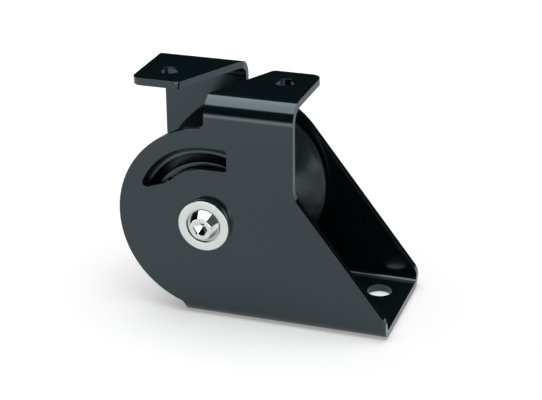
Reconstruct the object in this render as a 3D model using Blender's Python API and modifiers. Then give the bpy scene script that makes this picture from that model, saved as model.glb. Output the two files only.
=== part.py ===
"""Over-the-top block: a wide sheave on a roller bearing, in a cage folded from one sheet.

The line comes in over the top of the sheave, under two mounting tabs that the
cage's arms fold over it, and leaves between the side plates. Metres, +Z up. The
origin is on the underside of the base, straight below the axle, halfway across
the cage. +X points to the long end of the base, and the near plate is at -Y.
"""

import math

import bmesh
import bpy
from mathutils import Vector

MM = 0.001

# Fits
GAP = 0.3 * MM  # between two pieces that touch on the real block
ARC_STEP = math.radians(6)  # finest turn between two points of an outline
TURN_STEPS = 40  # facets round a turned piece
SHEAVE_STEPS = 60
AXLE_HOLE_STEPS = 36
BOLT_HOLE_STEPS = 24
SHORTEST_EDGE = 0.02 * MM  # points of an outline nearer than this become one
SMOOTH_BELOW = math.radians(35)  # edges flatter than this are shaded smooth

# Sheet and folds
SHEET = 3.2 * MM
WIDTH = 56.4 * MM  # over the outer faces of the side plates
HEIGHT = 99.2 * MM  # underside of the base to the top of the tabs
AXLE_HEIGHT = 43.6 * MM
FOOT_BEND = 2.2 * MM  # inside radius of the folds along the base
HEAD_BEND = 5.6 * MM  # inside radius of the folds under the tabs
FOOT_BEND_STEPS = 4
HEAD_BEND_STEPS = 6

# Side plates
ROUND_RADIUS = 41.6 * MM
ROUND_OFFSET = 2.3 * MM  # centre of the round end, sideways from the axle towards the arm
ROUND_LIFT = 0.7 * MM  # and above it
SLOPE = math.radians(52.2)  # fall of the sloping edge
BASE_LEFT = -10.4 * MM
BASE_RIGHT = 78.6 * MM
NOTCH_RADIUS = 3.0 * MM  # where the round end runs into the arm and into the base
ARM_FOOT_RADIUS = 10.0 * MM
TOE_RADIUS = 8.0 * MM

# Arms and tabs
ARM_REACH = 38.3 * MM  # outer edge of each arm, sideways from the axle
TAB_REACH = 41.4 * MM  # inner edge of each tab, from its own plate's outer face
TAB_END = 21.6 * MM  # length of a tab's inner edge, from the arm's outer edge to the slant
SLANT_START = 2.1 * MM  # how far down the fold the slanted edge starts
TAB_CORNER_RADIUS = 3.6 * MM
TAB_SLANT_RADIUS = 2.4 * MM
TAB_HOLE_INSET = 12.3 * MM  # centre of a tab's hole, from the arm's outer edge
TAB_HOLE = 8.6 * MM

# Holes in the base, and the arc slots
BASE_HOLE = 11.0 * MM
BASE_HOLE_X = 65.5 * MM
BASE_HOLE_SPREAD = 21.6 * MM  # between the centres of the two holes
SLOT_OUTER = 30.5 * MM  # radii of the slot's two edges
SLOT_INNER = 20.75 * MM
SLOT_OFFSET = -0.3 * MM  # their centre, sideways from the axle towards the arm
SLOT_LIFT = 3.25 * MM  # and above it
SLOT_END = 9.6 * MM  # square end, sideways from the axle
SLOT_TIP_RISE = 12.05 * MM  # the pointed end's height above the axle
SLOT_FLOOR_RISE = math.radians(18.9)  # slope of the floor of the pointed end
SLOT_CORNER = 1.1 * MM
SLOT_TIP_RADIUS = 1.8 * MM
SLOT_THROAT_RADIUS = 12.0 * MM

# Axle, caps and screws
AXLE_RADIUS = 12.0 * MM
AXLE_EDGE = 0.5 * MM
CAP_RADIUS = 11.15 * MM
CAP_THICKNESS = 3.1 * MM
CAP_EDGE = 0.3 * MM
CAP_RECESS = 0.8 * MM  # sinks the screw's head
SPIGOT_RADIUS = 7.7 * MM
SPIGOT_ENTRY = 3.1 * MM  # how far a cap's spigot enters the axle
SCREW_RADIUS = 4.75 * MM
SCREW_LENGTH = 25.0 * MM
HEAD_RADIUS = 7.4 * MM
HEAD_PLAY = 0.5 * MM  # round the head, in its cap's recess
HEAD_HEIGHT = 3.9 * MM
HEAD_RIM = 0.4 * MM
HEAD_CROWN_RADIUS = 5.1 * MM
HEAD_EDGE = 0.5 * MM  # rounding of the crown's edge
HEX_ACROSS_FLATS = 5.6 * MM
HEX_DEPTH = 1.5 * MM
HEX_POINT = 1.6 * MM  # the pointed bottom below that

# Roller bearing
ROLLER_COUNT = 14
ROLLER_RADIUS = 2.5 * MM
ROLLER_STEPS = 16
ROLLER_EDGE = 0.4 * MM
RETAINER_WALL = 3.4 * MM
RETAINER_RIM = 1.5 * MM

# Sheave and thrust rings
SHEAVE_RADIUS = 37.5 * MM
HUB_WALL = 8.9 * MM  # between the bore and the middle of the groove
RIM_SETBACK = 1.9 * MM  # side of the rim, inside the side plate
RIM_THICKNESS = 2.6 * MM
RIM_EDGE = 0.8 * MM
GROOVE_STEPS = 12
RIM_BAND = 7.5 * MM  # from the rim in to the channel in each side
CREST_SETBACK = 0.7 * MM  # proudest ring of the side, inside the side plate
CREST_RADIUS = 2.0 * MM
CHANNEL_WIDTH = 3.8 * MM
CHANNEL_DEPTH = 4.7 * MM  # below the seat of the thrust ring
CHANNEL_WALL = 1.6 * MM  # least wall between the channel and the groove
THRUST_LEDGE = 0.5 * MM  # of the seat, outside the thrust ring
THRUST_THICKNESS = 3.7 * MM
THRUST_PLAY = 0.8 * MM  # between a thrust ring and its side plate
THRUST_EDGE = 0.5 * MM
SPIGOT_RIM = 1.4 * MM  # depth of a thrust ring's spigot in the sheave's bore

# Sizes that follow from those
INSIDE = WIDTH / 2 - SHEET
FOOT_OUTER = FOOT_BEND + SHEET
HEAD_OUTER = HEAD_BEND + SHEET
FOOT_MID = FOOT_BEND + SHEET / 2
HEAD_MID = HEAD_BEND + SHEET / 2
BASE_FLAT = WIDTH / 2 - FOOT_OUTER
FOOT_END = BASE_FLAT + math.pi / 2 * FOOT_MID
SIDE_END = FOOT_END + HEIGHT - FOOT_OUTER - HEAD_OUTER
HEAD_END = SIDE_END + math.pi / 2 * HEAD_MID
TAB_CORNER_X = ARM_REACH - TAB_END
TAB_HOLE_X = ARM_REACH - TAB_HOLE_INSET
PLATE_HOLE_RADIUS = SPIGOT_RADIUS + GAP
SCREW_HOLE_RADIUS = SCREW_RADIUS + GAP
PITCH_RADIUS = AXLE_RADIUS + GAP + ROLLER_RADIUS
BORE_RADIUS = PITCH_RADIUS + ROLLER_RADIUS + GAP
THRUST_OUTER_FACE = INSIDE - THRUST_PLAY
THRUST_INNER_FACE = THRUST_OUTER_FACE - THRUST_THICKNESS
RECESS_FLOOR = THRUST_INNER_FACE - GAP
RETAINER_END = THRUST_INNER_FACE - SPIGOT_RIM - GAP
ROLLER_LENGTH = 2 * (RETAINER_END - RETAINER_RIM - GAP)
RIM_FACE = INSIDE - RIM_SETBACK
CREST_FACE = INSIDE - CREST_SETBACK
GROOVE_FLOOR = BORE_RADIUS + HUB_WALL
GROOVE_HALF = RIM_FACE - RIM_THICKNESS
GROOVE_DEPTH = SHEAVE_RADIUS - GROOVE_FLOOR
GROOVE_RADIUS = (GROOVE_HALF ** 2 + GROOVE_DEPTH ** 2) / (2 * GROOVE_DEPTH)
GROOVE_REACH = math.asin(GROOVE_HALF / GROOVE_RADIUS)
CHANNEL_OUTER = SHEAVE_RADIUS - RIM_BAND
CHANNEL_INNER = CHANNEL_OUTER - CHANNEL_WIDTH
THRUST_RADIUS = CHANNEL_INNER - THRUST_LEDGE
CAP_FACE = WIDTH / 2 + GAP + CAP_THICKNESS


# Points and outlines

def sweep(centre, start, end, clockwise):
    """Points of an arc about centre from start to end, both included."""
    centre, start, end = Vector(centre), Vector(start), Vector(end)
    first = math.atan2(*reversed(start - centre))
    turn = math.atan2(*reversed(end - centre)) - first
    turn %= 2 * math.pi
    if clockwise:
        turn -= 2 * math.pi
    steps = max(2, math.ceil(abs(turn) / ARC_STEP))
    radius = (start - centre).length
    angles = [first + turn * step / steps for step in range(steps + 1)]
    return [centre + radius * Vector((math.cos(a), math.sin(a))) for a in angles]


def rounded(before, corner, after, radius):
    """Points of a corner between two straight edges, rounded to a radius."""
    corner = Vector(corner)
    back = (Vector(before) - corner).normalized()
    on = (Vector(after) - corner).normalized()
    half = back.angle(on) / 2
    setback = radius / math.tan(half)
    centre = corner + (back + on).normalized() * radius / math.sin(half)
    clockwise = back.x * on.y - back.y * on.x > 0
    return sweep(centre, corner + back * setback, corner + on * setback, clockwise)


def level_point(centre, reach, x, above):
    """The point of a circle about centre, at a given x, above or below the centre."""
    rise = math.sqrt(reach ** 2 - (x - centre.x) ** 2)
    return Vector((x, centre.y + (rise if above else -rise)))


def meet_line(centre, reach, start, along):
    """Where a line first crosses the circle of a given reach about centre."""
    near = (centre - start).dot(along)
    off = (start + along * near - centre).length
    return start + along * (near - math.sqrt(reach ** 2 - off ** 2))


def touch(centre, radius, other):
    """Where a circle about centre touches a smaller one about other."""
    return centre + (other - centre).normalized() * radius


def circle(centre, radius, steps):
    turns = [2 * math.pi * step / steps for step in range(steps)]
    return [Vector(centre) + radius * Vector((math.cos(a), math.sin(a))) for a in turns]


# Collections, materials and shared builders

def clear_scene():
    for obj in list(bpy.data.objects):
        bpy.data.objects.remove(obj, do_unlink=True)


def new_collection(name):
    collection = bpy.data.collections.new(name)
    bpy.context.scene.collection.children.link(collection)
    return collection


def material(name, colour, metallic, roughness):
    mat = bpy.data.materials.new(name)
    mat.use_nodes = True
    shader = mat.node_tree.nodes["Principled BSDF"]
    shader.inputs["Base Color"].default_value = (*colour, 1.0)
    shader.inputs["Metallic"].default_value = metallic
    shader.inputs["Roughness"].default_value = roughness
    mat.diffuse_color = (*colour, 1.0)
    return mat


def add_object(name, mesh, collection, mat=None):
    obj = bpy.data.objects.new(name, mesh)
    collection.objects.link(obj)
    if mat:
        mesh.materials.append(mat)
    return obj


def shade(mesh):
    mesh.shade_smooth()
    mesh.set_sharp_from_angle(angle=SMOOTH_BELOW)


def stand_on_axle(obj, side=1):
    """Lays a piece that was turned about Z along the axle, its top towards side * Y."""
    obj.rotation_euler = (-side * math.pi / 2, 0, 0)
    obj.location = (0, 0, AXLE_HEIGHT)


def turned(name, profile, collection, mat, closed, steps=TURN_STEPS):
    """A solid of revolution about Z, from (radius, height) points that run down its outer side."""
    mesh = bpy.data.meshes.new(name)
    bm = bmesh.new()
    verts = [bm.verts.new((radius, 0, height)) for radius, height in profile]
    pairs = list(zip(verts, verts[1:]))
    if closed:
        pairs.append((verts[-1], verts[0]))
    for pair in pairs:
        bm.edges.new(pair)
    bm.to_mesh(mesh)
    bm.free()
    obj = add_object(name, mesh, collection, mat)
    screw = obj.modifiers.new("turn", "SCREW")
    screw.axis = "Z"
    screw.steps = screw.render_steps = steps
    screw.use_merge_vertices = True
    screw.merge_threshold = 0.00001
    screw.use_smooth_shade = True
    return obj


def cutter(obj):
    obj.hide_render = True
    obj.display_type = "WIRE"
    return obj


def cut(obj, tool):
    modifier = obj.modifiers.new("cut_" + tool.name, "BOOLEAN")
    modifier.operation = "DIFFERENCE"
    modifier.solver = "EXACT"
    modifier.object = tool


# Cage: the flat blank, and the folds that make it a cage

def unrolled(height):
    """Distance on the blank from the base's middle line to a height on a side plate."""
    return FOOT_END + height - FOOT_OUTER


def tab_unrolled(depth):
    """The same for a point on a tab, a depth inwards from its side plate's outer face."""
    return HEAD_END + depth - HEAD_OUTER


def slope_height(x):
    """Height of the sloping edge at x: a line that touches the far plate's round end."""
    normal = Vector((math.sin(SLOPE), math.cos(SLOPE)))
    centre = Vector((-ROUND_OFFSET, AXLE_HEIGHT + ROUND_LIFT))
    reach = centre.dot(normal) + ROUND_RADIUS
    return (reach - x * normal.x) / normal.y


def toe():
    """The sloping edge's lower end, rounded into the end of the base."""
    corner = Vector((BASE_RIGHT, slope_height(BASE_RIGHT)))
    above = Vector((0, slope_height(0)))
    return rounded(above, corner, corner - Vector((0, 1)), TOE_RADIUS)


def heel():
    """From the edge of the base up its notch to the start of the round end."""
    centre = Vector((ROUND_OFFSET, AXLE_HEIGHT + ROUND_LIFT))
    notch = level_point(centre, ROUND_RADIUS + NOTCH_RADIUS, BASE_LEFT - NOTCH_RADIUS, False)
    edge = notch + Vector((NOTCH_RADIUS, 0))
    return sweep(notch, edge, touch(centre, ROUND_RADIUS, notch), False)


def arm_notch(side):
    """Where the round end meets the inner edge of the arm, from the round to the edge."""
    centre = Vector((side * ROUND_OFFSET, AXLE_HEIGHT + ROUND_LIFT))
    notch = level_point(centre, ROUND_RADIUS + NOTCH_RADIUS, -side * NOTCH_RADIUS, True)
    edge = notch + Vector((side * NOTCH_RADIUS, 0))
    return sweep(notch, touch(centre, ROUND_RADIUS, notch), edge, side < 0)


def tab(side):
    """A tab's edge on the blank, from the arm's inner edge round to its outer edge."""
    start = Vector((0, HEAD_END - SLANT_START))
    inner = Vector((side * TAB_CORNER_X, tab_unrolled(TAB_REACH)))
    outer = Vector((side * ARM_REACH, tab_unrolled(TAB_REACH)))
    foot = Vector((side * ARM_REACH, unrolled(AXLE_HEIGHT)))
    points = [start]
    points += rounded(start, inner, outer, TAB_SLANT_RADIUS)
    points += rounded(inner, outer, foot, TAB_CORNER_RADIUS)
    return points


def on_blank(points):
    return [Vector((point.x, unrolled(point.y))) for point in points]


def near_half():
    """The near plate's edge on the blank, from the base's left end to its right end."""
    centre = Vector((ROUND_OFFSET, AXLE_HEIGHT + ROUND_LIFT))
    notch = arm_notch(1)
    corner = Vector((ARM_REACH, slope_height(ARM_REACH)))
    end = Vector((BASE_RIGHT, slope_height(BASE_RIGHT)))
    points = heel()
    points += sweep(centre, points[-1], notch[0], True)
    points += notch
    points = on_blank(points) + tab(1)
    points += on_blank(rounded(corner + Vector((0, 1)), corner, end, ARM_FOOT_RADIUS))
    return points + on_blank(toe())


def far_shoulder(centre):
    """Where the far arm's outer edge meets the round end. A wider arm flares out from its side."""
    beyond = ARM_REACH + centre.x - ROUND_RADIUS
    if beyond < 0:
        return [level_point(centre, ROUND_RADIUS, -ARM_REACH, True)]
    side = centre - Vector((ROUND_RADIUS, 0))
    return [side, side + Vector((-beyond, beyond))]


def far_half():
    """The far plate's edge: its arm stands over the round end instead of over the slope."""
    centre = Vector((ROUND_OFFSET, AXLE_HEIGHT + ROUND_LIFT))
    other = Vector((-ROUND_OFFSET, AXLE_HEIGHT + ROUND_LIFT))
    notch = list(reversed(arm_notch(-1)))
    shoulder = far_shoulder(centre)
    normal = Vector((math.sin(SLOPE), math.cos(SLOPE)))
    points = heel()
    points += sweep(centre, points[-1], shoulder[0], True) + shoulder[1:]
    points = on_blank(points) + list(reversed(tab(-1)))
    points += on_blank(notch)
    points += on_blank(sweep(other, notch[-1], other + normal * ROUND_RADIUS, True))
    return points + on_blank(toe())


def arc_slot(side):
    """The slot beside the arm: two arcs and their level ends, square at one end."""
    centre = Vector((SLOT_OFFSET, AXLE_HEIGHT + SLOT_LIFT))
    top, bottom = centre.y + SLOT_OUTER, centre.y + SLOT_INNER
    top_corner = Vector((SLOT_END - SLOT_CORNER, top - SLOT_CORNER))
    low_corner = Vector((SLOT_END - SLOT_CORNER, bottom + SLOT_CORNER))
    to_edge, to_level = Vector((SLOT_CORNER, 0)), Vector((0, SLOT_CORNER))
    along = Vector((math.cos(SLOT_FLOOR_RISE), math.sin(SLOT_FLOOR_RISE)))
    up = Vector((-along.y, along.x))
    tip_height = AXLE_HEIGHT + SLOT_TIP_RISE
    back = math.sqrt(SLOT_OUTER ** 2 - (tip_height - centre.y) ** 2)
    floor = Vector((centre.x - back, tip_height))
    tip = meet_line(centre, SLOT_OUTER - SLOT_TIP_RADIUS, floor + up * SLOT_TIP_RADIUS, along)
    throat = meet_line(
        centre, SLOT_INNER + SLOT_THROAT_RADIUS, floor + up * SLOT_THROAT_RADIUS, along
    )
    points = sweep(top_corner, top_corner + to_edge, top_corner + to_level, False)
    points += sweep(centre, Vector((centre.x, top)), touch(centre, SLOT_OUTER, tip), False)
    points += sweep(tip, points[-1], tip - up * SLOT_TIP_RADIUS, False)
    points += sweep(
        throat, throat - up * SLOT_THROAT_RADIUS, touch(centre, SLOT_INNER, throat), False
    )
    points += sweep(centre, points[-1], Vector((centre.x, bottom)), True)
    points += sweep(low_corner, low_corner - to_level, low_corner + to_edge, False)
    return [Vector((side * point.x, unrolled(point.y))) for point in points]


def on_near_side(points):
    return [Vector((point.x, -point.y)) for point in points]


def blank_outlines():
    """Every edge of the flat blank: X along the base, Y across it, folded up later."""
    hub = (0, unrolled(AXLE_HEIGHT))
    bolt = tab_unrolled(WIDTH / 2)
    half = BASE_HOLE_SPREAD / 2
    outline = on_near_side(near_half()) + list(reversed(far_half()))
    return [
        outline,
        on_near_side(arc_slot(1)),
        arc_slot(-1),
        on_near_side(circle(hub, PLATE_HOLE_RADIUS, AXLE_HOLE_STEPS)),
        circle(hub, PLATE_HOLE_RADIUS, AXLE_HOLE_STEPS),
        on_near_side(circle((TAB_HOLE_X, bolt), TAB_HOLE / 2, BOLT_HOLE_STEPS)),
        circle((-TAB_HOLE_X, bolt), TAB_HOLE / 2, BOLT_HOLE_STEPS),
        circle((BASE_HOLE_X, -half), BASE_HOLE / 2, BOLT_HOLE_STEPS),
        circle((BASE_HOLE_X, half), BASE_HOLE / 2, BOLT_HOLE_STEPS),
    ]


def flat_blank():
    """The blank as a mesh of the sheet's thickness."""
    curve = bpy.data.curves.new("blank", "CURVE")
    curve.dimensions = "2D"
    curve.fill_mode = "BOTH"
    curve.extrude = SHEET / 2
    for outline in blank_outlines():
        kept = [p for i, p in enumerate(outline) if (p - outline[i - 1]).length > SHORTEST_EDGE]
        spline = curve.splines.new("POLY")
        spline.points.add(len(kept) - 1)
        spline.use_cyclic_u = True
        for point, place in zip(spline.points, kept):
            point.co = (place.x, place.y, 0, 1)
    guide = bpy.data.objects.new("blank", curve)
    bpy.context.scene.collection.objects.link(guide)
    graph = bpy.context.evaluated_depsgraph_get()
    mesh = bpy.data.meshes.new_from_object(guide.evaluated_get(graph))
    bpy.data.objects.remove(guide, do_unlink=True)
    return mesh


def folded(place):
    """Where a point of the flat blank ends up when the sheet is folded."""
    side = 1 if place.y >= 0 else -1
    run, outward = abs(place.y), -place.z
    plate = WIDTH / 2 - HEAD_OUTER
    if run <= BASE_FLAT:
        y, z = run, SHEET / 2 - outward
    elif run <= FOOT_END:
        turn = (run - BASE_FLAT) / FOOT_MID
        y = BASE_FLAT + (FOOT_MID + outward) * math.sin(turn)
        z = FOOT_OUTER - (FOOT_MID + outward) * math.cos(turn)
    elif run <= SIDE_END:
        y, z = WIDTH / 2 - SHEET / 2 + outward, FOOT_OUTER + run - FOOT_END
    elif run <= HEAD_END:
        turn = (run - SIDE_END) / HEAD_MID
        y = plate + (HEAD_MID + outward) * math.cos(turn)
        z = HEIGHT - HEAD_OUTER + (HEAD_MID + outward) * math.sin(turn)
    else:
        y, z = plate - (run - HEAD_END), HEIGHT - SHEET / 2 + outward
    return Vector((place.x, side * y, z))


def creases():
    """Where the sheet bends, as distances on the blank from the base's middle line."""
    foot = (FOOT_END - BASE_FLAT) / FOOT_BEND_STEPS
    head = (HEAD_END - SIDE_END) / HEAD_BEND_STEPS
    lines = [BASE_FLAT + foot * step for step in range(FOOT_BEND_STEPS + 1)]
    return lines + [SIDE_END + head * step for step in range(HEAD_BEND_STEPS + 1)]


def make_cage(collection, mat):
    mesh = flat_blank()
    bm = bmesh.new()
    bm.from_mesh(mesh)
    bmesh.ops.remove_doubles(bm, verts=bm.verts, dist=0.001 * MM)
    bmesh.ops.recalc_face_normals(bm, faces=bm.faces)
    for crease in creases():
        for side in (-1, 1):
            everything = bm.verts[:] + bm.edges[:] + bm.faces[:]
            bmesh.ops.bisect_plane(
                bm, geom=everything, dist=0.0001 * MM,
                plane_co=(0, side * crease, 0), plane_no=(0, 1, 0),
            )
    for vert in bm.verts:
        vert.co = folded(vert.co)
    bm.to_mesh(mesh)
    bm.free()
    shade(mesh)
    return add_object("cage", mesh, collection, mat)


# Axle, caps and screws

def make_axle(collection, mat):
    end = INSIDE - GAP
    seat = end - SPIGOT_ENTRY - GAP
    profile = [
        (AXLE_RADIUS - AXLE_EDGE, end), (AXLE_RADIUS, end - AXLE_EDGE),
        (AXLE_RADIUS, -end + AXLE_EDGE), (AXLE_RADIUS - AXLE_EDGE, -end),
        (PLATE_HOLE_RADIUS, -end), (PLATE_HOLE_RADIUS, -seat),
        (SCREW_HOLE_RADIUS, -seat), (SCREW_HOLE_RADIUS, seat),
        (PLATE_HOLE_RADIUS, seat), (PLATE_HOLE_RADIUS, end),
    ]
    stand_on_axle(turned("axle", profile, collection, mat, True))


def make_cap(name, side, collection, mat):
    seat = INSIDE - GAP - SPIGOT_ENTRY
    profile = [
        (CAP_RADIUS - CAP_EDGE, CAP_FACE), (CAP_RADIUS, CAP_FACE - CAP_EDGE),
        (CAP_RADIUS, CAP_FACE - CAP_THICKNESS), (SPIGOT_RADIUS, CAP_FACE - CAP_THICKNESS),
        (SPIGOT_RADIUS, seat), (SCREW_HOLE_RADIUS, seat),
        (SCREW_HOLE_RADIUS, CAP_FACE - CAP_RECESS),
        (HEAD_RADIUS + HEAD_PLAY, CAP_FACE - CAP_RECESS), (HEAD_RADIUS + HEAD_PLAY, CAP_FACE),
    ]
    stand_on_axle(turned(name, profile, collection, mat, True), side)


def make_screw(name, side, collection, tools, mat):
    """A conical head on a shank, with a flat crown and a hexagon socket."""
    base = CAP_FACE - CAP_RECESS + GAP
    top = base + HEAD_HEIGHT
    fall = math.degrees(math.atan2(HEAD_RADIUS - HEAD_CROWN_RADIUS, HEAD_HEIGHT - HEAD_RIM))
    profile = [(0, top)]
    profile += quarter(HEAD_CROWN_RADIUS - HEAD_EDGE, top - HEAD_EDGE, HEAD_EDGE, 90, fall, 2)
    profile += [(HEAD_RADIUS, base + HEAD_RIM), (HEAD_RADIUS, base), (SCREW_RADIUS, base)]
    profile += [(SCREW_RADIUS, base - SCREW_LENGTH), (0, base - SCREW_LENGTH)]
    screw = turned(name, profile, collection, mat, False)
    stand_on_axle(screw, side)
    corner = HEX_ACROSS_FLATS / 2 / math.cos(math.pi / 6)
    bottom = top - HEX_DEPTH
    profile = [(0, top + HEX_DEPTH), (corner, top + HEX_DEPTH), (corner, bottom)]
    profile += [(0, bottom - HEX_POINT)]
    socket = cutter(turned(name + "_socket", profile, tools, None, False, 6))
    stand_on_axle(socket, side)
    cut(screw, socket)


# Roller bearing

def rod_mesh(name, radius, length):
    """A plain rod along Z, its middle at the origin."""
    mesh = bpy.data.meshes.new(name)
    bm = bmesh.new()
    bmesh.ops.create_cone(
        bm, cap_ends=True, segments=ROLLER_STEPS, depth=length,
        radius1=radius, radius2=radius,
    )
    bm.to_mesh(mesh)
    bm.free()
    return mesh


def roller_places():
    turns = [2 * math.pi * count / ROLLER_COUNT for count in range(ROLLER_COUNT)]
    return [Vector((math.cos(a), 0, math.sin(a))) * PITCH_RADIUS for a in turns]


def make_rollers(collection, mat, holder):
    mesh = rod_mesh("roller", ROLLER_RADIUS, ROLLER_LENGTH)
    shade(mesh)
    mesh.materials.append(mat)
    for count, place in enumerate(roller_places()):
        roller = bpy.data.objects.new(f"roller_{count + 1:02d}", mesh)
        collection.objects.link(roller)
        roller.parent = holder
        roller.location = place
        roller.rotation_euler = (-math.pi / 2, 0, 0)
        bevel = roller.modifiers.new("edge", "BEVEL")
        bevel.width = ROLLER_EDGE
        bevel.segments = 1


def make_retainer(collection, tools, mat):
    """A ring with a pocket for each roller."""
    half = RETAINER_END
    inner = PITCH_RADIUS - RETAINER_WALL / 2
    outer = PITCH_RADIUS + RETAINER_WALL / 2
    profile = [(outer, half), (outer, -half), (inner, -half), (inner, half)]
    retainer = turned("roller_retainer", profile, collection, mat, True)
    stand_on_axle(retainer)
    mesh = bpy.data.meshes.new("pockets")
    bm = bmesh.new()
    for place in roller_places():
        made = bmesh.ops.create_cone(
            bm, cap_ends=True, segments=ROLLER_STEPS, depth=ROLLER_LENGTH + 2 * GAP,
            radius1=ROLLER_RADIUS + GAP, radius2=ROLLER_RADIUS + GAP,
        )
        bmesh.ops.translate(bm, verts=made["verts"], vec=(place.x, place.z, 0))
    bm.to_mesh(mesh)
    bm.free()
    pockets = cutter(add_object("pockets", mesh, tools))
    stand_on_axle(pockets)
    cut(retainer, pockets)


# Sheave and thrust rings

def groove():
    """Half of the line groove, from the rim's inner edge down to the middle."""
    centre = GROOVE_FLOOR + GROOVE_RADIUS
    steps = GROOVE_STEPS // 2
    turns = [GROOVE_REACH * (steps - step) / steps for step in range(steps + 1)]
    return [(centre - GROOVE_RADIUS * math.cos(a), GROOVE_RADIUS * math.sin(a)) for a in turns]


def channel_floor():
    """How deep the channel goes, which leaves its least wall to the groove."""
    wall = (GROOVE_RADIUS + CHANNEL_WALL) ** 2 - (GROOVE_FLOOR + GROOVE_RADIUS - CHANNEL_OUTER) ** 2
    return max(RECESS_FLOOR - CHANNEL_DEPTH, math.sqrt(max(wall, 0)))


def side_draft():
    """Slope of the side, in degrees: the line that touches the crest's and the rim's rounding."""
    out = (SHEAVE_RADIUS - RIM_EDGE) - (CHANNEL_OUTER + CREST_RADIUS)
    fall = (CREST_FACE - CREST_RADIUS) - (RIM_FACE - RIM_EDGE)
    turn = math.asin((CREST_RADIUS - RIM_EDGE) / math.hypot(out, fall))
    return math.degrees(math.atan2(fall, out) + turn)


def quarter(out, along, radius, first, last, steps=3):
    """Points of a rounded edge about (out, along), between two angles in degrees."""
    turns = [math.radians(first + (last - first) * step / steps) for step in range(steps + 1)]
    return [(out + radius * math.cos(a), along + radius * math.sin(a)) for a in turns]


def make_sheave(collection, mat):
    floor, slant = channel_floor(), 90 - side_draft()
    crest = (CHANNEL_OUTER + CREST_RADIUS, CREST_FACE - CREST_RADIUS)
    rim = (SHEAVE_RADIUS - RIM_EDGE, RIM_FACE - RIM_EDGE)
    upper = [(BORE_RADIUS, 0), (BORE_RADIUS, RECESS_FLOOR), (CHANNEL_INNER, RECESS_FLOOR)]
    upper += [(CHANNEL_INNER, floor), (CHANNEL_OUTER, floor)]
    upper += quarter(*crest, CREST_RADIUS, 180, slant)
    upper += quarter(*rim, RIM_EDGE, slant, 0, 2)
    upper += quarter(rim[0], GROOVE_HALF + RIM_EDGE, RIM_EDGE, 0, -math.degrees(GROOVE_REACH), 2)
    upper += groove()[1:]
    lower = [(out, -along) for out, along in reversed(upper[1:-1])]
    stand_on_axle(turned("sheave", upper + lower, collection, mat, True, SHEAVE_STEPS))


def make_thrust_ring(name, side, collection, mat):
    """Sits in the sheave's side on a spigot that enters the bore and keeps the rollers in."""
    inner = AXLE_RADIUS + 2 * GAP
    spigot = BORE_RADIUS - GAP
    foot = THRUST_INNER_FACE - SPIGOT_RIM
    profile = [
        (THRUST_RADIUS - THRUST_EDGE, THRUST_OUTER_FACE),
        (THRUST_RADIUS, THRUST_OUTER_FACE - THRUST_EDGE),
        (THRUST_RADIUS, THRUST_INNER_FACE), (spigot, THRUST_INNER_FACE),
        (spigot, foot), (inner, foot), (inner, THRUST_OUTER_FACE),
    ]
    stand_on_axle(turned(name, profile, collection, mat, True), side)


# Assembly

clear_scene()
block = new_collection("over_the_top_block")
tools = new_collection("cutters")

black_sheet = material("black_sheet", (0.035, 0.044, 0.050), 0.0, 0.38)
black_anodised = material("black_anodised", (0.020, 0.024, 0.028), 0.6, 0.35)
stainless = material("stainless", (0.70, 0.70, 0.69), 1.0, 0.28)
polished_steel = material("polished_steel", (0.72, 0.72, 0.71), 1.0, 0.08)
black_acetal = material("black_acetal", (0.018, 0.020, 0.022), 0.0, 0.45)
roller_plastic = material("roller_plastic", (0.30, 0.22, 0.10), 0.0, 0.40)

axle_line = bpy.data.objects.new("axle_line", None)
block.objects.link(axle_line)
axle_line.location = (0, 0, AXLE_HEIGHT)

make_cage(block, black_sheet)
make_axle(block, stainless)
for end, side in (("near", -1), ("far", 1)):
    make_cap(f"axle_cap_{end}", side, block, stainless)
    make_screw(f"axle_screw_{end}", side, block, tools, polished_steel)
make_rollers(block, roller_plastic, axle_line)
make_retainer(block, tools, black_acetal)
make_sheave(block, black_anodised)
for end, side in (("near", -1), ("far", 1)):
    make_thrust_ring(f"thrust_ring_{end}", side, block, black_acetal)
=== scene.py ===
"""Looks of the over-the-top block, piece by piece, in the order it is put together."""
import math

import bmesh
import bpy
from mathutils import Matrix, Vector


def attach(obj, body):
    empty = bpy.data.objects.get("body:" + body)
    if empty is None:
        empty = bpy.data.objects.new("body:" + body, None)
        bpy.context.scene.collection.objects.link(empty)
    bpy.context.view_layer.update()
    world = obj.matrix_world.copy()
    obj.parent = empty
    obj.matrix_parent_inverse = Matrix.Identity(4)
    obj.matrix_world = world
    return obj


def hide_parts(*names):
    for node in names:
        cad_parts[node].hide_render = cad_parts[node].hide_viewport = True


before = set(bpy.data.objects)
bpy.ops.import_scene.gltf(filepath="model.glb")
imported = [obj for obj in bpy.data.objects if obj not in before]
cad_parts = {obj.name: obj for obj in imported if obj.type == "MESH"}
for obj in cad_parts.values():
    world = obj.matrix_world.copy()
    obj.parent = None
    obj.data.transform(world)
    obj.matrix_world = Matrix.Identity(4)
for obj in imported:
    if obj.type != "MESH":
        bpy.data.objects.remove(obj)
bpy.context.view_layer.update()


# The cage: one sheet of 3.2 mm metal, cut flat with its holes and slots, tumbled to take
# the burrs off its edges, folded up along the base into two side plates and over again
# into two tabs, and coated in one go in a satin black.

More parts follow.
